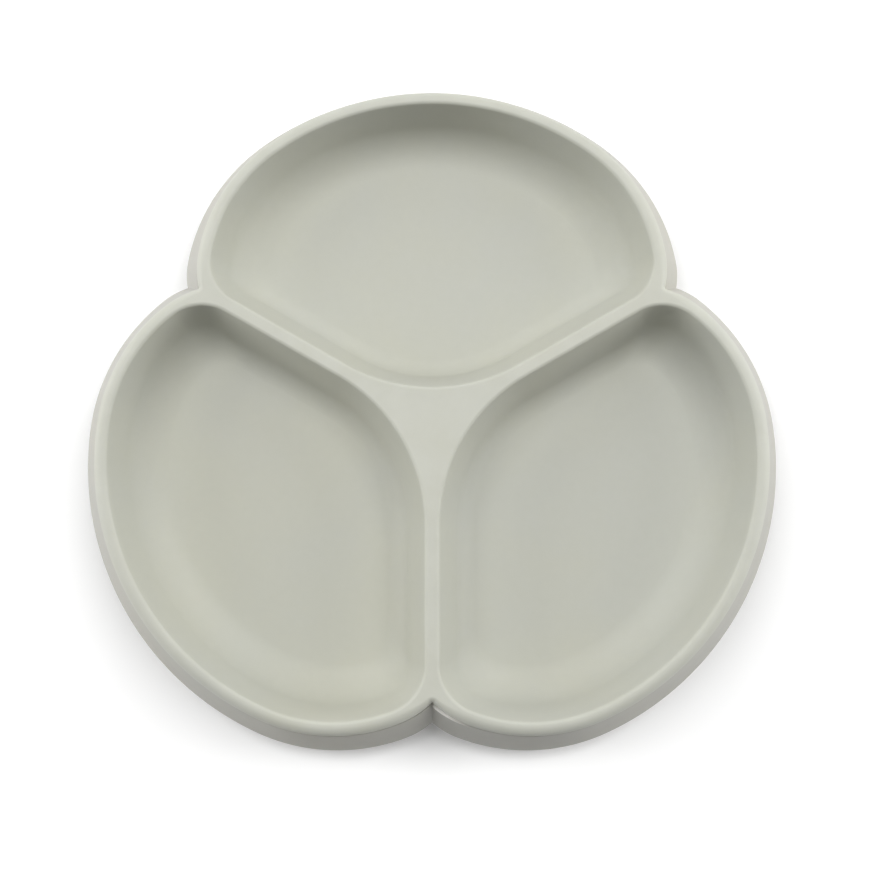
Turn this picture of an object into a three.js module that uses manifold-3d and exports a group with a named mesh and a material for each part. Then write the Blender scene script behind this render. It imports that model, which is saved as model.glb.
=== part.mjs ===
// Three-compartment suction bowl for a small child, in soft silicone.
//
// A divided tray with three equal wells drops into a flared outer holder. Under the holder sits
// a suction ring: a collar, a thin flexible diaphragm, a lip that seals on the table and a tab
// that peels the lip up. Units are millimetres, +Z is up, and z = 0 is the table.

import * as THREE from 'three';
import { mergeVertices } from 'three/addons/utils/BufferGeometryUtils.js';
import Module from 'manifold-3d';

const wasm = await Module();
wasm.setup();

// ---- Heights above the table ----
const rimTop = 26;
const wellDepth = 17;
const floorTop = rimTop - wellDepth;
const rimUnderside = 22.4;
const tongueBottom = 19.6;
const holderTop = 22.1;
const holderSeat = 19.3;
const skirtEdge = 9.2;
const holderBottom = 4.8;
const holderFloorTop = 6.5;
const collarTop = 4.5;
const collarBottom = 3.0;
const lipTop = 2.0;

// ---- Plan of one well at the rim, its own axis along +X from the three-fold axis ----
const lobeCentre = 16.4;
const lobeRadius = 73.3;
const lobeHalfAngle = THREE.MathUtils.degToRad(36);
const shoulderRadius = 44.3;
const cornerRadius = 12.7;
const hubFilletRadius = 47;
const dividerHalf = 2.1;

// ---- Wall and rim sections ----
const wallThickness = 2.2;
const outerSide = { draft: THREE.MathUtils.degToRad(18), fillet: 11 };
const dividerSide = { draft: THREE.MathUtils.degToRad(20), fillet: 6 };
const innerEdgeRadius = 1.1;
const rimRidge = 1.1;
const rimRadius = 3;
const seatGap = 0.3;
const holderRimOut = 4.4;
const skirtOut = 10.2;
const minFloorCorner = 9;

// ---- Suction ring, as offsets from the well plan ----
const baseNotch = 12;
const collarInner = -12;
const collarOuter = -8.5;
const lipInner = -1.5;
const lipOuter = 0.8;

// ---- Release tab ----
const tabHalfWidth = 6;
const tabReach = 80.6;
const tabBottom = 0.4;
const tabThickness = 1.4;

const cos60 = 0.5;
const sin60 = Math.sqrt(3) / 2;
const along = new THREE.Vector2(cos60, sin60);
const inward = new THREE.Vector2(sin60, -cos60);

const shoulderCentre = new THREE.Vector2(
  lobeCentre + (lobeRadius - shoulderRadius) * Math.cos(lobeHalfAngle),
  (lobeRadius - shoulderRadius) * Math.sin(lobeHalfAngle),
);
const hubFilletCentre = (hubFilletRadius + dividerHalf) / sin60;

// The front lobes reach less far forward than the rear lobe reaches back, so the three-fold
// axis lies a little in front of the middle of the object's box.
const tipReach = lobeCentre + lobeRadius + skirtOut;
const frontReach = shoulderCentre.dot(along) + shoulderRadius + skirtOut;
const axisY = -(tipReach - frontReach) / 2;

// Centre of the corner arc that touches a side arc inside and the divider's edge.
function cornerCentre(outer, divider, radius, sideCentre = shoulderCentre, sideRadius = shoulderRadius) {
  const fromDivider = dividerHalf - divider + radius;
  const start = inward.clone().multiplyScalar(fromDivider).sub(sideCentre);
  const reach = sideRadius + outer - radius;
  const b = start.dot(along);
  const s = -b + Math.sqrt(b * b - start.lengthSq() + reach * reach);
  return inward.clone().multiplyScalar(fromDivider).addScaledVector(along, s);
}

function arc(points, cx, cy, radius, from, to, steps, skipFirst) {
  for (let i = skipFirst ? 1 : 0; i <= steps; i += 1) {
    const a = from + ((to - from) * i) / steps;
    points.push(new THREE.Vector2(cx + radius * Math.cos(a), cy + radius * Math.sin(a)));
  }
}

// Upper half of one well's outline. Its outer and divider sides move outwards by their own
// offsets (inwards when negative). Far enough in, the corner touches the lobe arc instead.
function halfWell(outer, divider) {
  const mean = (outer + divider) / 2;
  const radius = mean < 0 ? Math.max(cornerRadius + mean, minFloorCorner) : cornerRadius + mean;
  let corner = cornerCentre(outer, divider, radius);
  let turn = corner.clone().sub(shoulderCentre).angle();
  const points = [];
  if (turn < lobeHalfAngle) {
    const lobe = new THREE.Vector2(lobeCentre, 0);
    corner = cornerCentre(outer, divider, radius, lobe, lobeRadius);
    turn = corner.clone().sub(lobe).angle();
    arc(points, lobeCentre, 0, lobeRadius + outer, 0, turn, 11, false);
  } else {
    arc(points, lobeCentre, 0, lobeRadius + outer, 0, lobeHalfAngle, 6, false);
    arc(points, shoulderCentre.x, shoulderCentre.y, shoulderRadius + outer, lobeHalfAngle, turn, 5, true);
  }
  arc(points, corner.x, corner.y, radius, turn, (Math.PI * 5) / 6, 5, true);
  arc(points, hubFilletCentre, 0, hubFilletRadius + divider, (Math.PI * 5) / 6, Math.PI, 5, false);
  return points;
}

// Whole outline of one well, counter-clockwise, mirrored about its own axis.
function wellOutline([outer, divider]) {
  const upper = halfWell(outer, divider);
  const lower = upper.slice(1, -1).reverse().map((p) => new THREE.Vector2(p.x, -p.y));
  return upper.concat(lower);
}

// Whole outline round all three lobes. Neighbouring lobes meet in a notch of radius notch.
// A push widens each corner arc towards the notch, which moves the notch outwards.
function trefoilOutline(offset, notch, push = 0) {
  const corner = cornerCentre(0, 0, cornerRadius);
  const turn = corner.clone().sub(shoulderCentre).angle();
  const radius = cornerRadius + offset;
  const across = corner.dot(inward);
  const notchAlong = corner.dot(along) + Math.sqrt((radius + push + notch) ** 2 - across ** 2);
  const notchCentre = along.clone().multiplyScalar(notchAlong);
  const meet = notchCentre.clone().sub(corner).angle();
  const half = [];
  arc(half, lobeCentre, 0, lobeRadius + offset, 0, lobeHalfAngle, 5, false);
  arc(half, shoulderCentre.x, shoulderCentre.y, shoulderRadius + offset, lobeHalfAngle, turn, 4, true);
  for (let i = 1; i <= 4; i += 1) {
    const t = i / 4;
    const a = turn + (meet - turn) * t;
    const r = radius + push * t * t;
    half.push(new THREE.Vector2(corner.x + r * Math.cos(a), corner.y + r * Math.sin(a)));
  }
  arc(half, notchCentre.x, notchCentre.y, notch, meet + Math.PI, (Math.PI * 4) / 3, 2, true);
  const points = [];
  for (let lobe = 0; lobe < 3; lobe += 1) {
    const spin = Math.PI / 2 + (lobe * Math.PI * 2) / 3;
    const origin = new THREE.Vector2();
    const left = half.map((p) => p.clone().rotateAround(origin, spin));
    const right = half.slice(1, -1).reverse().map((p) => new THREE.Vector2(p.x, -p.y).rotateAround(origin, spin));
    points.push(...right, ...left);
  }
  return points;
}

// Rounds the notch on tight offsets and leaves it a crisp crease on the wide ones.
const bodyNotch = (offset) => Math.max(0.25, 3.4 - offset);
const ringNotch = (offset) => baseNotch - offset;
const bodyOutline = (offset) => trefoilOutline(offset, bodyNotch(offset));
const ringOutline = (offset) => trefoilOutline(offset, ringNotch(offset));

// The outside of the rim and the skirt. The web runs out flat between neighbouring rims, so
// the notch is stated as [offset, reach from the axis, notch radius] from the crown down.
const notchStops = [
  [0.9, 72.3, 2.5],
  [2.6, 73.4, 1.4],
  [3.6, 74.1, 0.7],
  [4.1, 74.5, 0.3],
  [4.4, 75.0, 0.25],
  [10.2, 81.75, 0.25],
];

function outerOutline(offset) {
  let i = 0;
  while (i < notchStops.length - 2 && offset > notchStops[i + 1][0]) i += 1;
  const [from, to] = [notchStops[i], notchStops[i + 1]];
  const t = THREE.MathUtils.clamp((offset - from[0]) / (to[0] - from[0]), 0, 1);
  const reach = THREE.MathUtils.lerp(from[1], to[1], t);
  const notch = THREE.MathUtils.lerp(from[2], to[2], t);
  const corner = cornerCentre(0, 0, cornerRadius);
  const wide = Math.hypot(reach - corner.dot(along) + notch, corner.dot(inward));
  return trefoilOutline(offset, notch, wide - notch - cornerRadius - offset);
}

const skirtOutline = (offset) => (offset < 0 ? bodyOutline(offset) : outerOutline(offset));

// A lathe whose rings are then laid on an outline: levels are [offset, z] from the bottom up,
// and a solid is closed at both ends by a point above the outline's centre.
function loft(levels, outline, centreX) {
  const count = outline(levels[0][0]).length;
  const profile = [new THREE.Vector2(0, levels[0][1])];
  levels.forEach((level) => profile.push(new THREE.Vector2(1, level[1])));
  profile.push(new THREE.Vector2(0, levels[levels.length - 1][1]));
  const lathe = new THREE.LatheGeometry(profile, count);
  const position = lathe.attributes.position;
  const rings = levels.map((level) => outline(level[0]));
  for (let i = 0; i <= count; i += 1) {
    for (let j = 0; j < profile.length; j += 1) {
      const index = i * profile.length + j;
      const ring = rings[j - 1];
      const x = ring ? ring[i % count].x : centreX;
      const y = ring ? ring[i % count].y : 0;
      position.setXYZ(index, x, y, profile[j].y);
    }
  }
  return solid(lathe);
}

// A closed ring: the section's [offset, z] corners run counter-clockwise, seen with the
// offset to the right and z up.
function ringLoft(section, outline) {
  const count = outline(section[0][0]).length;
  const closed = section.concat([section[0]]);
  const lathe = new THREE.LatheGeometry(closed.map((c) => new THREE.Vector2(1, c[1])), count);
  const position = lathe.attributes.position;
  const rings = closed.map((corner) => outline(corner[0]));
  for (let i = 0; i <= count; i += 1) {
    for (let j = 0; j < closed.length; j += 1) {
      const p = rings[j][i % count];
      position.setXYZ(i * closed.length + j, p.x, p.y, closed[j][1]);
    }
  }
  return solid(lathe);
}

// Turns a closed geometry into a manifold solid, facing out.
function solid(geometry) {
  const bare = geometry.clone();
  bare.deleteAttribute('normal');
  bare.deleteAttribute('uv');
  const merged = mergeVertices(bare, 1e-4);
  const index = Array.from(merged.index.array);
  const position = merged.attributes.position;
  const kept = [];
  for (let i = 0; i < index.length; i += 3) {
    const [a, b, c] = index.slice(i, i + 3);
    if (a !== b && b !== c && c !== a) kept.push(a, b, c);
  }
  const p = [new THREE.Vector3(), new THREE.Vector3(), new THREE.Vector3()];
  let volume = 0;
  for (let i = 0; i < kept.length; i += 3) {
    p.forEach((v, k) => v.fromBufferAttribute(position, kept[i + k]));
    volume += p[0].dot(p[1].clone().cross(p[2]));
  }
  if (volume < 0) kept.reverse();
  const mesh = new wasm.Mesh({
    numProp: 3,
    vertProperties: new Float32Array(position.array),
    triVerts: new Uint32Array(kept),
  });
  return new wasm.Manifold(mesh);
}

function toMesh(name, manifold, material) {
  const result = manifold.getMesh();
  const geometry = new THREE.BufferGeometry();
  const vertices = new THREE.BufferAttribute(new Float32Array(result.vertProperties), 3);
  geometry.setAttribute('position', vertices);
  geometry.setIndex(Array.from(result.triVerts));
  geometry.computeVertexNormals();
  const mesh = new THREE.Mesh(geometry, material);
  mesh.name = name;
  return mesh;
}

function turned(manifold, lobe) {
  return manifold.rotate([0, 0, 90 + lobe * 120]);
}

function threeOf(manifold) {
  return [0, 1, 2].map((lobe) => turned(manifold, lobe)).reduce((all, one) => all.add(one));
}

function silicone(color) {
  return new THREE.MeshStandardMaterial({ color, roughness: 0.6, metalness: 0 });
}

// ---- Section of a well: rounded edge, drafted wall, floor fillet ----
// The outer side curves softly into the floor. The divider side has a straighter wall.
// Where a side's wall is at height z, for the inside or (with grow) the outside of the shell.
function wallOffset(z, { draft, fillet }, grow) {
  const slope = Math.PI / 2 - draft;
  const edgeZ = rimTop - innerEdgeRadius * (1 - Math.cos(slope));
  if (z >= edgeZ && grow === 0) {
    return rimRidge - innerEdgeRadius * Math.sin(Math.acos(1 - (rimTop - z) / innerEdgeRadius));
  }
  const start = rimRidge - innerEdgeRadius * Math.sin(slope);
  const filletZ = floorTop + fillet;
  const jointZ = filletZ - fillet * Math.cos(slope);
  const centre = start - (edgeZ - jointZ) * Math.tan(draft) - fillet * Math.sin(slope);
  if (z >= filletZ - (fillet + grow) * Math.cos(slope)) {
    return start - (edgeZ - z) * Math.tan(draft) + grow / Math.cos(draft);
  }
  return centre + Math.sqrt(Math.max(0, (fillet + grow) ** 2 - (filletZ - z) ** 2));
}

function wellLevels(heights, grow) {
  return heights.map((z) => [[wallOffset(z, outerSide, grow), wallOffset(z, dividerSide, grow)], z]);
}

// Heights from the floor to the top of the outer side's fillet.
function filletHeights(grow) {
  const slope = Math.PI / 2 - outerSide.draft;
  const heights = [];
  for (let i = 0; i <= 5; i += 1) {
    heights.push(floorTop + outerSide.fillet - (outerSide.fillet + grow) * Math.cos((slope * i) / 5));
  }
  return heights;
}

function wellCutter() {
  const heights = filletHeights(0);
  for (const degrees of [70, 36, 0]) {
    heights.push(rimTop - innerEdgeRadius * (1 - Math.cos(THREE.MathUtils.degToRad(degrees))));
  }
  const levels = wellLevels(heights, 0);
  levels.push([[rimRidge, rimRidge], rimTop + 2]);
  return loft(levels, wellOutline, 50);
}

function wellShell() {
  const heights = filletHeights(wallThickness).concat([rimUnderside + 1.2]);
  return loft(wellLevels(heights, wallThickness), wellOutline, 50);
}

// The tray: a rounded rim and web, three hanging shells, and a tongue that enters the holder.
function buildTray() {
  const outside = rimRidge + rimRadius;
  const levels = [[outside, rimUnderside]];
  for (const degrees of [90, 62, 36, 0]) {
    const a = THREE.MathUtils.degToRad(degrees);
    levels.push([rimRidge + rimRadius * Math.sin(a), rimTop - rimRadius * (1 - Math.cos(a))]);
  }
  const plate = loft(levels, outerOutline, 0);
  const tongueOut = holderRimOut - 1.5 - seatGap;
  const tongueTop = rimUnderside + 0.8;
  const tongue = ringLoft(
    [[-0.2, tongueBottom], [tongueOut, tongueBottom], [tongueOut, tongueTop], [-0.2, tongueTop]],
    bodyOutline,
  );
  return plate.add(tongue).add(threeOf(wellShell())).subtract(threeOf(wellCutter()));
}

// The holder: flared skirt, undercut bevel and floor, with a Y rib between the wells.
function buildHolder() {
  const outer = loft([
    [-2, holderBottom],
    [skirtOut - 0.3, skirtEdge],
    [skirtOut, skirtEdge + 0.5],
    [holderRimOut, holderTop],
  ], skirtOutline, 0);
  const cavity = loft([
    [-2.6, holderFloorTop],
    [skirtOut - 2.2, skirtEdge + 1.2],
    [holderRimOut - 1.5, holderSeat],
    [holderRimOut - 1.5, holderTop + 1],
  ], bodyOutline, 0);
  const ribTop = 9.6;
  const ribHeight = ribTop - holderFloorTop + 0.5;
  const ribLength = 52;
  const rib = new THREE.BoxGeometry(ribLength, 3.6, ribHeight);
  rib.translate(ribLength / 2 + 4, 0, ribTop - ribHeight / 2);
  const post = new THREE.CylinderGeometry(7, 8, ribHeight, 24);
  post.rotateX(Math.PI / 2);
  post.translate(0, 0, ribTop - ribHeight / 2);
  const ribs = threeOf(solid(rib).rotate([0, 0, 180])).add(solid(post));
  return outer.subtract(cavity).add(ribs);
}

const sealFace = 0;
const lipSection = [
  [lipInner, sealFace],
  [lipOuter, sealFace],
  [lipOuter, 1.2],
  [lipOuter - 0.7, lipTop],
  [lipInner, lipTop],
];
const collarSection = [
  [collarInner, collarBottom],
  [collarOuter, collarBottom],
  [collarOuter, collarTop],
  [collarInner, collarTop],
];
const diaphragmSection = [
  [collarOuter + 0.3, 3.2],
  [collarOuter + 1.6, 3.2],
  [lipInner - 1.6, 0.7],
  [lipInner - 0.3, 0.7],
  [lipInner - 0.3, 1.8],
  [lipInner - 1.4, 1.8],
  [collarOuter + 1.8, 4.3],
  [collarOuter + 0.3, 4.3],
];

// The tab starts on a curve that follows the lip's front notch and ends in a rounded grip.
function buildTab() {
  const corner = cornerCentre(0, 0, cornerRadius);
  const across = corner.dot(inward);
  const notchAlong = corner.dot(along) + Math.sqrt((cornerRadius + baseNotch) ** 2 - across ** 2);
  const rootRadius = ringNotch(lipOuter) - seatGap;
  const rootAngle = Math.asin(tabHalfWidth / rootRadius);
  const tip = -tabReach;
  const shape = new THREE.Shape();
  shape.absarc(0, -notchAlong, rootRadius, Math.PI / 2 + rootAngle, Math.PI / 2 - rootAngle, true);
  shape.lineTo(tabHalfWidth, tip + 3);
  shape.absarc(tabHalfWidth - 3, tip + 3, 3, 0, -Math.PI / 2, true);
  shape.absarc(3 - tabHalfWidth, tip + 3, 3, -Math.PI / 2, -Math.PI, true);
  shape.closePath();
  const options = { depth: tabThickness, bevelEnabled: false, curveSegments: 6 };
  const tab = new THREE.ExtrudeGeometry(shape, options);
  tab.translate(0, 0, tabBottom);
  return solid(tab);
}

const bowl = new THREE.Group();
bowl.position.y = axisY;
bowl.add(toMesh('divided_tray', buildTray(), silicone(0xc6c8ba)));
bowl.add(toMesh('outer_holder', buildHolder(), silicone(0xb9bab0)));
bowl.add(toMesh('suction_collar', ringLoft(collarSection, ringOutline), silicone(0xb9bab0)));
bowl.add(toMesh('suction_diaphragm', ringLoft(diaphragmSection, ringOutline), silicone(0xc2c4b8)));
bowl.add(toMesh('sealing_lip', ringLoft(lipSection, ringOutline), silicone(0xb9bab0)));
bowl.add(toMesh('release_tab', buildTab(), silicone(0xb9bab0)));

export default bowl;
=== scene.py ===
# Three-compartment suction bowl in matte sage silicone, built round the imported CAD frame.

import math

import bmesh
import bpy
import numpy as np
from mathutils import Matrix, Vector


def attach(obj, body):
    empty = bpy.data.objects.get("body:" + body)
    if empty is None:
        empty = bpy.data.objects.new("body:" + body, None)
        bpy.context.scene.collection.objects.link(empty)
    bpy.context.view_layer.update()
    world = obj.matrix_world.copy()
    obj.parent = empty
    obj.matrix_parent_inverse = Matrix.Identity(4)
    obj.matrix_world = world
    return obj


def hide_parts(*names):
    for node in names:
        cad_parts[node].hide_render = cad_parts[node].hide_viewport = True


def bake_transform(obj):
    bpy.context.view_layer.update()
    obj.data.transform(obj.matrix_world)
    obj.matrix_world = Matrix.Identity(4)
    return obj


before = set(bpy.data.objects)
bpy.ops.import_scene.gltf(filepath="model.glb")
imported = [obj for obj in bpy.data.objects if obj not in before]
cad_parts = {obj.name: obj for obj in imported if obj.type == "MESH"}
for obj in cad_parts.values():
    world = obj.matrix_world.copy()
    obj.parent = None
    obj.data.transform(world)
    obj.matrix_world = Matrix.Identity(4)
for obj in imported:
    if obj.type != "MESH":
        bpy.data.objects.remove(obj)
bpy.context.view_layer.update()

MM = 0.001

# ---- Plan of one well at the rim, its own axis along +X from the three-fold axis (mm) ----
LOBE_CENTRE = 16.4
LOBE_RADIUS = 73.3
LOBE_HALF_ANGLE = math.radians(36)
SHOULDER_RADIUS = 44.3
CORNER_RADIUS = 12.7
HUB_FILLET = 47.0
DIVIDER_HALF = 2.1
MIN_FLOOR_CORNER = 9.0

# ---- Heights and sections (mm) ----
RIM_TOP = 26.0
WELL_DEPTH = 17.0
FLOOR_TOP = RIM_TOP - WELL_DEPTH
WALL = 2.2
OUTER_SIDE = (math.radians(18), 11.0)  # draft and floor fillet radius
DIVIDER_SIDE = (math.radians(20), 6.0)
INNER_EDGE = 1.1
RIM_RIDGE = 1.1
RIM_RADIUS = 3.0
RIM_UNDERSIDE = 22.4
TONGUE_BOTTOM = 19.6
HOLDER_TOP = 22.1
HOLDER_SEAT = 19.3
HOLDER_RIM_OUT = 4.4
SKIRT_OUT = 10.2
SKIRT_EDGE = 9.2
HOLDER_BOTTOM = 4.8
HOLDER_FLOOR = 6.5
BASE_NOTCH = 12.0
OUTER_OFFSETS = (0.9, 2.6, 3.6, 4.1, 4.4, 10.2)  # from the rim's crown down to the skirt's edge
NOTCH_REACH = (72.3, 73.4, 74.1, 74.5, 75.0, 81.75)
NOTCH_RADII = (2.5, 1.4, 0.7, 0.3, 0.25, 0.25)
HOLDER_WALL = 1.5
SEAT_GAP = 0.3
RIB_TOP = 9.6
TAB_HALF_WIDTH = 6.0
TAB_REACH = 80.6
TAB_RIBS = (76.2, 77.5, 78.8)
LEDGES = ((1, 12.0, 0.5), (-1, 7.0, 0.15))  # side of the front notch, length, how far it stands out

COS60 = 0.5
SIN60 = math.sqrt(3) / 2
ALONG = np.array([COS60, SIN60])
INWARD = np.array([SIN60, -COS60])
SHOULDER_CENTRE = np.array([
    LOBE_CENTRE + (LOBE_RADIUS - SHOULDER_RADIUS) * math.cos(LOBE_HALF_ANGLE),
    (LOBE_RADIUS - SHOULDER_RADIUS) * math.sin(LOBE_HALF_ANGLE),
])
HUB_CENTRE = (HUB_FILLET + DIVIDER_HALF) / SIN60
TIP_REACH = LOBE_CENTRE + LOBE_RADIUS + SKIRT_OUT
FRONT_REACH = float(SHOULDER_CENTRE @ ALONG) + SHOULDER_RADIUS + SKIRT_OUT
AXIS_Y = -(TIP_REACH - FRONT_REACH) / 2


# ---- Outlines ----
def corner_centre(outer, divider, radius, side_centre=SHOULDER_CENTRE, side_radius=SHOULDER_RADIUS):
    """Centre of the corner arc inside a side arc and against the divider's edge."""
    from_divider = DIVIDER_HALF - divider + radius
    start = INWARD * from_divider - side_centre
    reach = side_radius + outer - radius
    b = float(start @ ALONG)
    s = -b + math.sqrt(b * b - float(start @ start) + reach * reach)
    return INWARD * from_divider + ALONG * s


def arc(points, centre, radius, start, end, steps, skip_first=False):
    for i in range(1 if skip_first else 0, steps + 1):
        a = start + (end - start) * i / steps
        points.append((centre[0] + radius * math.cos(a), centre[1] + radius * math.sin(a)))


def angle_of(v):
    return math.atan2(v[1], v[0])


def well_outline(outer, divider, detail=4):
    """One well's outline with its outer and divider sides moved outwards, in its own frame."""
    mean = (outer + divider) / 2
    radius = max(CORNER_RADIUS + mean, MIN_FLOOR_CORNER) if mean < 0 else CORNER_RADIUS + mean
    corner = corner_centre(outer, divider, radius)
    turn = angle_of(corner - SHOULDER_CENTRE)
    lobe_end = LOBE_HALF_ANGLE
    if turn < LOBE_HALF_ANGLE:
        lobe = np.array((LOBE_CENTRE, 0))
        corner = corner_centre(outer, divider, radius, lobe, LOBE_RADIUS)
        lobe_end = angle_of(corner - lobe)
    half = []
    arc(half, (LOBE_CENTRE, 0), LOBE_RADIUS + outer, 0, lobe_end, 7 * detail)
    if turn < LOBE_HALF_ANGLE:
        turn = lobe_end
        half += [half[-1]] * (5 * detail)
    else:
        arc(half, SHOULDER_CENTRE, SHOULDER_RADIUS + outer, LOBE_HALF_ANGLE, turn, 5 * detail, True)
    arc(half, corner, radius, turn, math.pi * 5 / 6, 6 * detail, True)
    last = np.array(half[-1])
    first = np.array((HUB_CENTRE, 0)) + (HUB_FILLET + divider) * np.array((-SIN60, COS60))
    for i in range(1, 4 * detail):
        half.append(tuple(last + (first - last) * i / (4 * detail)))
    arc(half, (HUB_CENTRE, 0), HUB_FILLET + divider, math.pi * 5 / 6, math.pi, 7 * detail)
    lower = [(x, -y) for x, y in reversed(half[1:-1])]
    return np.array(half + lower)


def trefoil_outline(offset, notch, push=0.0, detail=4):
    """The outline round all three lobes. Lobes meet in a notch of radius notch.

    A push widens each corner arc towards the notch, which moves the notch outwards.
    """
    corner = corner_centre(0, 0, CORNER_RADIUS)
    turn = angle_of(corner - SHOULDER_CENTRE)
    radius = CORNER_RADIUS + offset
    across = float(corner @ INWARD)
    reach = radius + push + notch
    centre = ALONG * (float(corner @ ALONG) + math.sqrt(reach ** 2 - across ** 2))
    meet = angle_of(centre - corner)
    half = []
    arc(half, (LOBE_CENTRE, 0), LOBE_RADIUS + offset, 0, LOBE_HALF_ANGLE, 7 * detail)
    arc(half, SHOULDER_CENTRE, SHOULDER_RADIUS + offset, LOBE_HALF_ANGLE, turn, 5 * detail, True)
    for i in range(1, 5 * detail + 1):
        t = i / (5 * detail)
        a = turn + (meet - turn) * t
        r = radius + push * t * t
        half.append((corner[0] + r * math.cos(a), corner[1] + r * math.sin(a)))
    arc(half, centre, notch, meet + math.pi, math.pi * 4 / 3, 2 * detail, True)
    left = np.array(half)
    right = np.array([(x, -y) for x, y in reversed(half[1:-1])])
    parts = []
    for lobe in range(3):
        spin = math.pi / 2 + lobe * math.pi * 2 / 3
        turn_by = np.array([[math.cos(spin), math.sin(spin)], [-math.sin(spin), math.cos(spin)]])
        parts += [right @ turn_by, left @ turn_by]
    return np.concatenate(parts)


def body_notch(offset):
    return max(0.25, 3.4 - offset)


def body_outline(offset):
    return trefoil_outline(offset, body_notch(offset))


def notch_push(notch, offset, reach):
    """How far a corner arc widens so that the notch lies at a given reach from the axis."""
    corner = corner_centre(0, 0, CORNER_RADIUS)
    across = float(corner @ INWARD)
    depth = reach - float(corner @ ALONG) + notch
    return math.hypot(depth, across) - notch - CORNER_RADIUS - offset


def outer_outline(offset):
    """The outside of the rim and the skirt. The web runs out flat between neighbouring rims."""
    reach = float(np.interp(offset, OUTER_OFFSETS, NOTCH_REACH))
    notch = float(np.interp(offset, OUTER_OFFSETS, NOTCH_RADII))
    return trefoil_outline(offset, notch, notch_push(notch, offset, reach))


def ring_outline(offset):
    return trefoil_outline(offset, BASE_NOTCH - offset)


# ---- Mesh makers ----
def new_object(name, vertices, faces):
    mesh = bpy.data.meshes.new(name)
    mesh.from_pydata([tuple(v) for v in vertices], [], faces)
    bm = bmesh.new()
    bm.from_mesh(mesh)
    bmesh.ops.remove_doubles(bm, verts=bm.verts, dist=1e-7)
    bmesh.ops.dissolve_degenerate(bm, edges=bm.edges, dist=1e-7)
    bmesh.ops.recalc_face_normals(bm, faces=bm.faces)
    bm.to_mesh(mesh)
    bm.free()
    mesh.update()
    obj = bpy.data.objects.new(name, mesh)
    bpy.context.scene.collection.objects.link(obj)
    return obj


def rings_to_object(name, rings, heights, closed):
    """Skins rings of points. An open stack is capped by a point above each end's middle."""
    count = len(rings[0])
    vertices = []
    for ring, z in zip(rings, heights):
        vertices += [(x * MM, (y + AXIS_Y) * MM, z * MM) for x, y in ring]
    faces = []
    last = len(rings) if closed else len(rings) - 1
    for j in range(last):
        a, b = j * count, ((j + 1) % len(rings)) * count
        for i in range(count):
            k = (i + 1) % count
            faces.append((a + i, a + k, b + k, b + i))
    if not closed:
        for j in (0, len(rings) - 1):
            middle = rings[j].mean(axis=0)
            vertices.append((middle[0] * MM, (middle[1] + AXIS_Y) * MM, heights[j] * MM))
            centre = len(vertices) - 1
            faces += [(j * count + i, j * count + (i + 1) % count, centre) for i in range(count)]
    return new_object(name, vertices, faces)


def loft(name, levels, outline, closed=False):
    return rings_to_object(name, [outline(e) for e, z in levels], [z for e, z in levels], closed)


def lobe_loft(name, levels, lobe):
    spin = math.pi / 2 + lobe * math.pi * 2 / 3
    turn_by = np.array([[math.cos(spin), math.sin(spin)], [-math.sin(spin), math.cos(spin)]])
    rings = [well_outline(outer, divider) @ turn_by for outer, divider, z in levels]
    return rings_to_object(name, rings, [z for outer, divider, z in levels], False)


def round_corners(section, radii, steps=5):
    """Rounds the corners of an open or closed section of [offset, z] points."""
    out = []
    for i, (p, r) in enumerate(zip(section, radii)):
        if r <= 0:
            out.append(tuple(p))
            continue
        p = np.array(p, float)
        a = np.array(section[i - 1], float) - p
        b = np.array(section[(i + 1) % len(section)], float) - p
        a, b = a / np.linalg.norm(a), b / np.linalg.norm(b)
        half = math.acos(max(-1, min(1, float(a @ b)))) / 2
        cut = r / math.tan(half)
        centre = p + (a + b) / np.linalg.norm(a + b) * r / math.sin(half)
        start, end = p + a * cut - centre, p + b * cut - centre
        t0, t1 = angle_of(start), angle_of(end)
        if t1 - t0 > math.pi:
            t1 -= 2 * math.pi
        if t1 - t0 < -math.pi:
            t1 += 2 * math.pi
        for k in range(steps + 1):
            t = t0 + (t1 - t0) * k / steps
            out.append((centre[0] + r * math.cos(t), centre[1] + r * math.sin(t)))
    return out


def subdivide(levels, longest):
    """Adds levels between far ones, so long faces follow the outline's change."""
    out = [levels[0]]
    for a, b in zip(levels, levels[1:]):
        gap = math.hypot(b[0] - a[0], b[1] - a[1])
        n = max(1, math.ceil(gap / longest))
        out += [(a[0] + (b[0] - a[0]) * i / n, a[1] + (b[1] - a[1]) * i / n) for i in range(1, n + 1)]
    return out


def combine(target, other, operation):
    modifier = target.modifiers.new(operation.lower(), "BOOLEAN")
    modifier.operation = operation
    modifier.solver = "MANIFOLD"
    modifier.object = other
    graph = bpy.context.evaluated_depsgraph_get()
    mesh = bpy.data.meshes.new_from_object(target.evaluated_get(graph))
    target.modifiers.clear()
    old = target.data
    target.data = mesh
    bpy.data.meshes.remove(old)
    bpy.data.objects.remove(other)
    return target


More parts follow.
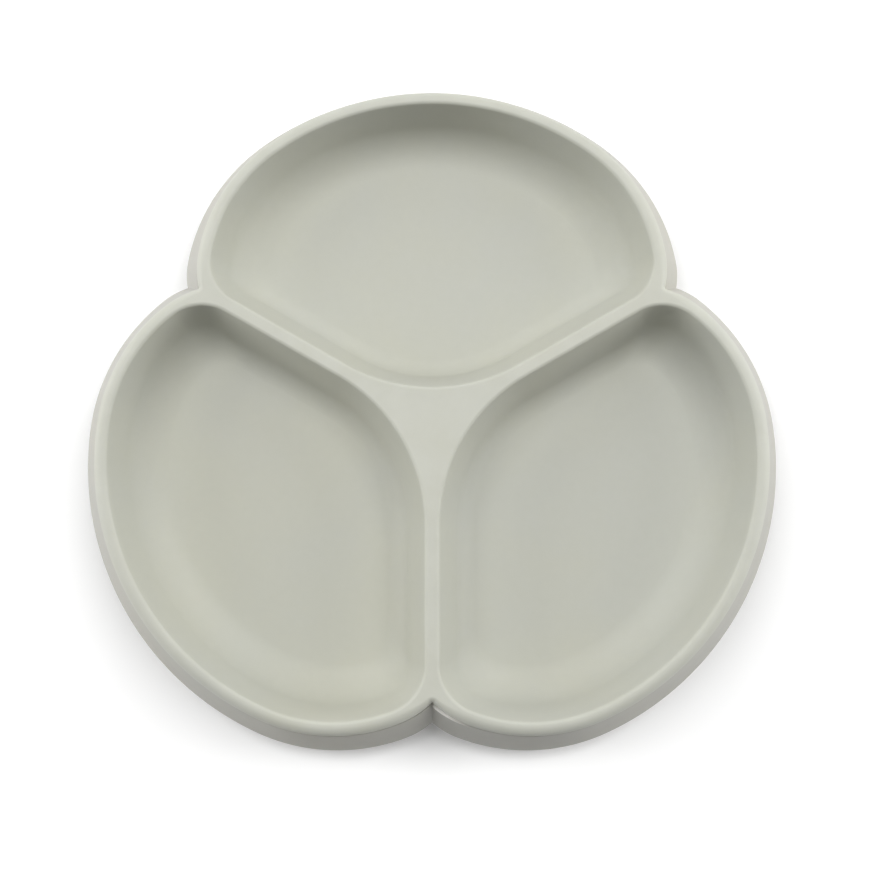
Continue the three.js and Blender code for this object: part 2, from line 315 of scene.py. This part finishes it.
def smooth(obj, degrees=35, flat_heights=()):
    """Area-weighted smooth shading. Points at a flat height get a normal straight up."""
    mesh = obj.data
    mesh.shade_smooth()
    mesh.set_sharp_from_angle(angle=math.radians(degrees))
    modifier = obj.modifiers.new("weighted_normals", "WEIGHTED_NORMAL")
    modifier.keep_sharp = True
    modifier.weight = 80
    if not flat_heights:
        return obj
    graph = bpy.context.evaluated_depsgraph_get()
    shaded = bpy.data.meshes.new_from_object(obj.evaluated_get(graph))
    obj.modifiers.clear()
    obj.data = shaded
    bpy.data.meshes.remove(mesh)
    normals = np.empty((len(shaded.loops), 3), np.float32)
    shaded.corner_normals.foreach_get("vector", normals.ravel())
    places = np.empty((len(shaded.vertices), 3), np.float32)
    shaded.vertices.foreach_get("co", places.ravel())
    of_loop = np.empty(len(shaded.loops), np.int32)
    shaded.loops.foreach_get("vertex_index", of_loop)
    heights = places[of_loop, 2]
    for z in flat_heights:
        normals[(np.abs(heights - z * MM) < 2e-6) & (normals[:, 2] > 0.8)] = (0, 0, 1)
    shaded.normals_split_custom_set(normals.tolist())
    return obj


# ---- Well section ----
def wall_offset(z, side, grow=0.0):
    """Where a side's wall is at height z. A positive grow gives the outside of the shell."""
    draft, fillet = side
    slope = math.pi / 2 - draft
    top = RIM_RIDGE - 0.05
    edge_z = RIM_TOP - INNER_EDGE * (1 - math.cos(slope))
    if z >= edge_z and grow == 0:
        return top - INNER_EDGE * math.sin(math.acos(1 - (RIM_TOP - z) / INNER_EDGE))
    start = top - INNER_EDGE * math.sin(slope)
    fillet_z = FLOOR_TOP + fillet
    joint_z = fillet_z - fillet * math.cos(slope)
    centre = start - (edge_z - joint_z) * math.tan(draft) - fillet * math.sin(slope)
    if z >= fillet_z - (fillet + grow) * math.cos(slope):
        return start - (edge_z - z) * math.tan(draft) + grow / math.cos(draft)
    return centre + math.sqrt(max(0.0, (fillet + grow) ** 2 - (fillet_z - z) ** 2))


def well_heights(grow=0.0):
    fillet = max(OUTER_SIDE[1], DIVIDER_SIDE[1])
    slope = math.pi / 2 - min(OUTER_SIDE[0], DIVIDER_SIDE[0])
    heights = []
    for i in range(19):
        heights.append(FLOOR_TOP + fillet - (fillet + grow) * math.cos(slope * i / 18))
    last = RIM_TOP - INNER_EDGE * (1 - math.cos(slope)) if grow == 0 else RIM_UNDERSIDE + 1.2
    n = math.ceil((last - heights[-1]) / 1.0)
    heights += [heights[-1] + (last - heights[-1]) * i / n for i in range(1, n + 1)]
    if grow == 0:
        heights += [RIM_TOP - INNER_EDGE * (1 - math.cos(slope * i / 7)) for i in range(6, -1, -1)]
    return heights


def well_levels(grow=0.0):
    return [
        (wall_offset(z, OUTER_SIDE, grow), wall_offset(z, DIVIDER_SIDE, grow), z)
        for z in well_heights(grow)
    ]


def build_tray():
    outside = RIM_RIDGE + RIM_RADIUS
    levels = [(outside - 0.5, RIM_UNDERSIDE), (outside - 0.15, RIM_UNDERSIDE + 0.15)]
    levels.append((outside, RIM_UNDERSIDE + 0.5))
    for k in range(10, -1, -1):
        a = math.radians(9 * k)
        out = RIM_RIDGE + 0.12 + (RIM_RADIUS - 0.12) * math.sin(a)
        levels.append((out, RIM_TOP - RIM_RADIUS * (1 - math.cos(a))))
    tray = loft("tray_moulding", levels, outer_outline)
    out = HOLDER_RIM_OUT - HOLDER_WALL - SEAT_GAP
    tongue_top = RIM_UNDERSIDE + 0.8
    section = round_corners(
        [(-0.2, TONGUE_BOTTOM), (out, TONGUE_BOTTOM), (out, tongue_top), (-0.2, tongue_top)],
        (0, 0.5, 0, 0),
    )
    combine(tray, loft("tongue", section, body_outline, closed=True), "UNION")
    for lobe in range(3):
        combine(tray, lobe_loft("shell", well_levels(WALL), lobe), "UNION")
    cut_top = (RIM_RIDGE - 0.05, RIM_RIDGE - 0.05, RIM_TOP + 2)
    for lobe in range(3):
        combine(tray, lobe_loft("cutter", well_levels() + [cut_top], lobe), "DIFFERENCE")
    return smooth(tray, flat_heights=(RIM_TOP, FLOOR_TOP))


def push_out(ring, z):
    """Stands the holder's upper edge a little proud of the tray beside the front notch."""
    rise = min(1.0, max(0.0, (z - 19.5) / 1.6))
    for point in ring:
        if point[1] > 0:
            continue
        for side, far, amount in LEDGES:
            x = point[0] * side
            if 0 < x < far:
                fade = min(1.0, x / 0.7) * math.cos(math.pi / 2 * x / far)
                point[0] -= amount * COS60 * side * fade * rise
                point[1] -= amount * SIN60 * fade * rise


def build_holder():
    section = [
        (-2, HOLDER_BOTTOM),
        (SKIRT_OUT - 0.3, SKIRT_EDGE),
        (SKIRT_OUT, SKIRT_EDGE + 0.5),
        (HOLDER_RIM_OUT, HOLDER_TOP),
        (HOLDER_RIM_OUT - HOLDER_WALL, HOLDER_TOP),
        (HOLDER_RIM_OUT - HOLDER_WALL, HOLDER_SEAT),
        (SKIRT_OUT - 2.2, SKIRT_EDGE + 1.2),
        (-2.6, HOLDER_FLOOR),
    ]
    levels = round_corners(section, (0.8, 0.25, 0.3, 0.3, 0.3, 0.5, 1.0, 0.8))
    levels = subdivide(levels, 2.0)
    inside = [i for i, (e, z) in enumerate(levels) if z > HOLDER_TOP - 0.01][-1]
    rings = []
    for i, (e, z) in enumerate(levels):
        if i > inside or z < HOLDER_BOTTOM + 0.6:
            rings.append(body_outline(e))
        elif e >= HOLDER_RIM_OUT:
            rings.append(outer_outline(e))
        else:
            if z > HOLDER_SEAT:
                blend = min(1.0, max(0.0, (e - HOLDER_RIM_OUT + HOLDER_WALL) / HOLDER_WALL))
            else:
                blend = (e + 2) / (SKIRT_OUT + 2)
            outer = outer_outline(max(e, HOLDER_RIM_OUT))
            rings.append(body_outline(e) * (1 - blend) + outer * blend)
    for ring, (e, z) in zip(rings, levels):
        if e > HOLDER_RIM_OUT - 1:
            push_out(ring, z)
    holder = rings_to_object("holder_moulding", rings, [z for e, z in levels], False)
    rib_height = RIB_TOP - HOLDER_FLOOR + 0.5
    for lobe in range(3):
        holder = combine(holder, rib(RIB_TOP, rib_height, lobe), "UNION")
    profile = [(7.0, RIB_TOP), (7.9, HOLDER_FLOOR + 0.6), (8.6, HOLDER_FLOOR - 0.4)]
    turns = np.linspace(0, 2 * math.pi, 64, endpoint=False)
    rings = [np.array([(r * math.cos(t), r * math.sin(t)) for t in turns]) for r, z in profile]
    post = rings_to_object("post", rings, [z for r, z in profile], False)
    return smooth(combine(holder, post, "UNION"))


def rib(top, height, lobe):
    """A bar with a drafted, rounded section that stands on the holder's floor under a divider."""
    spin = math.radians(270 + lobe * 120)
    turn_by = np.array([[math.cos(spin), math.sin(spin)], [-math.sin(spin), math.cos(spin)]])
    rings = []
    heights = []
    for half, z in ((2.1, top - height), (1.9, top - 0.6), (1.75, top - 0.18), (1.4, top)):
        ring = []
        arc(ring, (55.9 - 1.9, 0), half, -math.pi / 2, math.pi / 2, 10)
        arc(ring, (4, 0), half, math.pi / 2, math.pi * 3 / 2, 10)
        rings.append(np.array(ring) @ turn_by)
        heights.append(z)
    return rings_to_object("rib", rings, heights, False)


def build_ring(name, section, radii):
    levels = round_corners(section, radii)
    closed = subdivide(levels + [levels[0]], 1.2)[:-1]
    return smooth(loft(name, closed, ring_outline, closed=True), 50)


def build_tab():
    """The release tab: its root follows the lip's notch, and its grip has three ribs and thins to rounded
    edges.
    """
    corner = corner_centre(0, 0, CORNER_RADIUS)
    across = float(corner @ INWARD)
    notch_along = float(corner @ ALONG) + math.sqrt((CORNER_RADIUS + BASE_NOTCH) ** 2 - across ** 2)
    root_radius = BASE_NOTCH - 0.8 + 0.5
    columns = 24
    rows = 36
    vertices = []
    for side in (1, -1):
        for j in range(rows + 1):
            t = j / rows
            for i in range(columns + 1):
                u = -1 + 2 * i / columns
                half = TAB_HALF_WIDTH
                x = u * half
                root = notch_along - math.sqrt(root_radius ** 2 - x ** 2)
                tip = TAB_REACH - 3 + 3 * math.sqrt(max(0.0, 1 - max(0.0, (abs(x) - 3) / 3) ** 2))
                s = root + (tip - root) * t
                thick = 0.7
                if side > 0:
                    for centre in TAB_RIBS:
                        thick += 0.12 * math.exp(-((s - centre) / 0.32) ** 2)
                    thick -= 0.2 * max(0.0, s - 79.0)
                edge = min(1 - abs(u), (1 - t) * 1.3) * half
                thick *= math.sqrt(max(0.02, 1 - max(0.0, 1 - edge / 0.6) ** 2))
                vertices.append((x * MM, (-s + AXIS_Y) * MM, (1.1 + side * thick) * MM))
    layer = (rows + 1) * (columns + 1)
    faces = []
    for j in range(rows):
        for i in range(columns):
            a = j * (columns + 1) + i
            quad = (a, a + 1, a + columns + 2, a + columns + 1)
            faces.append(quad)
            faces.append(tuple(layer + v for v in reversed(quad)))
    border = [i for i in range(columns + 1)]
    border += [j * (columns + 1) + columns for j in range(1, rows + 1)]
    border += [rows * (columns + 1) + i for i in range(columns - 1, -1, -1)]
    border += [j * (columns + 1) for j in range(rows - 1, 0, -1)]
    for a, b in zip(border, border[1:] + border[:1]):
        faces.append((b, a, layer + a, layer + b))
    return smooth(new_object("release_tab_grip", vertices, faces), 50)


# ---- Material: matte moulded silicone ----
def silicone(name, colour, roughness=0.56, painted_ledge_highlight=False):
    material = bpy.data.materials.new(name)
    material.use_nodes = True
    tree = material.node_tree
    nodes, links = tree.nodes, tree.links
    shader = nodes["Principled BSDF"]
    shader.inputs["Metallic"].default_value = 0
    shader.inputs["IOR"].default_value = 1.41
    shader.inputs["Specular IOR Level"].default_value = 0.42
    shader.inputs["Sheen Weight"].default_value = 0.06
    shader.inputs["Sheen Roughness"].default_value = 0.6
    shader.inputs["Subsurface Weight"].default_value = 0.12
    shader.inputs["Subsurface Radius"].default_value = (0.004, 0.004, 0.003)
    shader.inputs["Subsurface Scale"].default_value = 0.6
    where = nodes.new("ShaderNodeTexCoord")

    def noise(size, detail, rough=0.5):
        node = nodes.new("ShaderNodeTexNoise")
        node.inputs["Scale"].default_value = size
        node.inputs["Detail"].default_value = detail
        node.inputs["Roughness"].default_value = rough
        links.new(where.outputs["Object"], node.inputs["Vector"])
        return node

    def ramp(source, low, high, a, b):
        node = nodes.new("ShaderNodeMapRange")
        node.inputs["From Min"].default_value = low
        node.inputs["From Max"].default_value = high
        node.inputs["To Min"].default_value = a
        node.inputs["To Max"].default_value = b
        links.new(source, node.inputs["Value"])
        return node.outputs["Result"]

    def mix(factor, a, b, kind="MIX"):
        node = nodes.new("ShaderNodeMix")
        node.data_type = "RGBA"
        node.blend_type = kind
        for socket, value in (("A", a), ("B", b)):
            if isinstance(value, tuple):
                node.inputs[6 if socket == "A" else 7].default_value = value
            else:
                links.new(value, node.inputs[6 if socket == "A" else 7])
        if isinstance(factor, float):
            node.inputs[0].default_value = factor
        else:
            links.new(factor, node.inputs[0])
        return node.outputs[2]

    r, g, b = colour
    cloudy = noise(22, 4)
    pigment = noise(420, 4, 0.6)
    warm = (r * 1.012, g * 1.006, b * 0.985, 1)
    cool = (r * 0.99, g * 0.993, b * 1.012, 1)
    base = mix(ramp(cloudy.outputs["Fac"], 0.35, 0.65, 0.0, 1.0), warm, cool)
    speck = ramp(pigment.outputs["Fac"], 0.3, 0.7, 0.0, 0.06)
    base = mix(speck, base, (r * 0.72, g * 0.74, b * 0.7, 1))
    split = nodes.new("ShaderNodeSeparateXYZ")
    links.new(where.outputs["Object"], split.inputs["Vector"])
    crown = ramp(split.outputs["Z"], (RIM_TOP - 2.2) * MM, (RIM_TOP - 0.2) * MM, 0.0, 1.0)
    rubbed = noise(75, 4, 0.6)
    worn = nodes.new("ShaderNodeMath")
    worn.operation = "MULTIPLY"
    links.new(crown, worn.inputs[0])
    links.new(ramp(rubbed.outputs["Fac"], 0.4, 0.66, 0.25, 1.0), worn.inputs[1])
    base = mix(worn.outputs["Value"], base, (min(1, r * 1.05), min(1, g * 1.05), min(1, b * 1.06), 1))
    if painted_ledge_highlight:
        # A pale sliver on the upper edge, just right of the front notch: a painted highlight on the ledge,
        # which lies in the rim's shade.
        mask = ramp(split.outputs["Z"], (HOLDER_TOP - 0.6) * MM, (HOLDER_TOP - 0.25) * MM, 0.0, 1.0)
        for axis, low, high in (("X", 0.0, 0.4), ("X", 11.0, 4.0), ("Y", -60.0, -62.0)):
            both = nodes.new("ShaderNodeMath")
            both.operation = "MULTIPLY"
            links.new(mask, both.inputs[0])
            links.new(ramp(split.outputs[axis], low * MM, high * MM, 0.0, 1.0), both.inputs[1])
            mask = both.outputs["Value"]
        base = mix(mask, base, (0.86, 0.84, 0.8, 1))
    links.new(base, shader.inputs["Base Color"])
    handled = noise(32, 5, 0.6)
    rough = ramp(handled.outputs["Fac"], 0.3, 0.7, roughness - 0.05, roughness + 0.07)
    links.new(rough, shader.inputs["Roughness"])
    grain = noise(2600, 2, 0.6)
    flow = noise(60, 3)
    height = nodes.new("ShaderNodeMath")
    height.operation = "MULTIPLY_ADD"
    height.inputs[1].default_value = 0.22
    links.new(grain.outputs["Fac"], height.inputs[0])
    links.new(flow.outputs["Fac"], height.inputs[2])
    bump = nodes.new("ShaderNodeBump")
    bump.inputs["Strength"].default_value = 0.16
    bump.inputs["Distance"].default_value = 0.0005
    links.new(height.outputs["Value"], bump.inputs["Height"])
    links.new(bump.outputs["Normal"], shader.inputs["Normal"])
    return material


def dress(obj, material):
    obj.data.materials.clear()
    obj.data.materials.append(material)


SAGE = (0.492, 0.497, 0.437)
# The holder's darker, warmer colour is painted shade on the skirt; the tray keeps the plain sage.
PAINTED_SHADE_SAGE = (0.428, 0.422, 0.378)
tray_look = silicone("tray_silicone", SAGE)
holder_painted_light_look = silicone("holder_silicone_painted_light", PAINTED_SHADE_SAGE, painted_ledge_highlight=True)
base_look = silicone("base_silicone", SAGE, roughness=0.46)

tray = build_tray()
dress(tray, tray_look)
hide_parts("divided_tray")
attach(tray, "tray")

holder = build_holder()
dress(holder, holder_painted_light_look)
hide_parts("outer_holder")
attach(holder, "holder")

collar = build_ring("collar_ring", [(-12, 3.0), (-8.5, 3.0), (-8.5, 4.7), (-12, 4.7)], (0.5, 0.4, 0.1, 0.1))
dress(collar, base_look)
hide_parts("suction_collar")
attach(collar, "holder")

diaphragm = build_ring("diaphragm_skirt", [
    (-8.7, 3.2), (-6.9, 3.2), (-3.1, 0.7), (-1.3, 0.7),
    (-1.3, 1.8), (-2.9, 1.8), (-6.7, 4.3), (-8.7, 4.3),
], (0, 1.2, 1.2, 0, 0, 1.2, 1.2, 0))
dress(diaphragm, base_look)
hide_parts("suction_diaphragm")
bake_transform(diaphragm)

lip = build_ring("sealing_foot", [
    (-1.5, 0), (0.8, 0), (0.8, 1.2), (0.1, 2.0), (-1.5, 2.0),
], (0.25, 0.3, 0.4, 0.4, 0.3))
dress(lip, base_look)
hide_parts("sealing_lip")
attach(lip, "seal")

tab = build_tab()
dress(tab, base_look)
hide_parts("release_tab")
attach(tab, "tab")

# ---- Floor, light and camera ----
bpy.ops.mesh.primitive_plane_add(size=8.0, location=(0, 0, -0.0002))
floor = bpy.context.object
floor.name = "studio_floor"
floor_look = bpy.data.materials.new("studio_white")
floor_look.use_nodes = True
floor_shader = floor_look.node_tree.nodes["Principled BSDF"]
floor_shader.inputs["Base Color"].default_value = (0.93, 0.93, 0.93, 1)
floor_shader.inputs["Roughness"].default_value = 0.8
floor_shader.inputs["Specular IOR Level"].default_value = 0.2
floor_shader.inputs["Emission Color"].default_value = (1, 1, 1, 1)
floor_shader.inputs["Emission Strength"].default_value = 0.1
floor.data.materials.append(floor_look)

world = bpy.data.worlds.new("studio_world")
world.use_nodes = True
world.node_tree.nodes["Background"].inputs["Color"].default_value = (1, 1, 1, 1)
world.node_tree.nodes["Background"].inputs["Strength"].default_value = 0.11
bpy.context.scene.world = world


def softbox(name, azimuth, elevation, size, power, distance=1.2):
    """A square softbox aimed at the bowl. Azimuth turns from straight behind to the right."""
    light = bpy.data.lights.new(name, "AREA")
    light.shape = "SQUARE"
    light.size = size
    light.energy = power
    obj = bpy.data.objects.new(name, light)
    bpy.context.scene.collection.objects.link(obj)
    turn, rise = math.radians(azimuth), math.radians(elevation)
    place = Vector((math.sin(turn) * math.cos(rise), math.cos(turn) * math.cos(rise), math.sin(rise)))
    obj.location = place * distance
    obj.rotation_euler = (-place).to_track_quat("-Z", "Y").to_euler()
    return obj


softbox("back_right_softbox", 60, 60, 0.6, 7.0)
softbox("back_left_softbox", -60, 60, 0.6, 6.5)
softbox("right_softbox", 82, 20, 0.5, 4.7)
softbox("left_softbox", -82, 20, 0.5, 4.7)
softbox("right_edge_light", 80, 8, 0.35, 2.2)
softbox("left_edge_light", -80, 8, 0.35, 2.2)
softbox("back_softbox", 0, 22, 0.5, 1.6)

TILT = math.radians(6.84)
DISTANCE = 0.2893
camera_data = bpy.data.cameras.new("camera")
camera_data.lens = 44.3
camera_data.sensor_width = 36
camera_data.shift_x = 0.004
camera_data.shift_y = -0.016
camera_data.clip_start = 0.01
camera = bpy.data.objects.new("camera", camera_data)
bpy.context.scene.collection.objects.link(camera)
camera.location = (
    0,
    AXIS_Y * MM - DISTANCE * math.sin(TILT),
    RIM_TOP * MM + DISTANCE * math.cos(TILT),
)
camera.rotation_euler = (TILT, 0, 0)
bpy.context.scene.camera = camera
bpy.context.scene.view_settings.view_transform = "Standard"
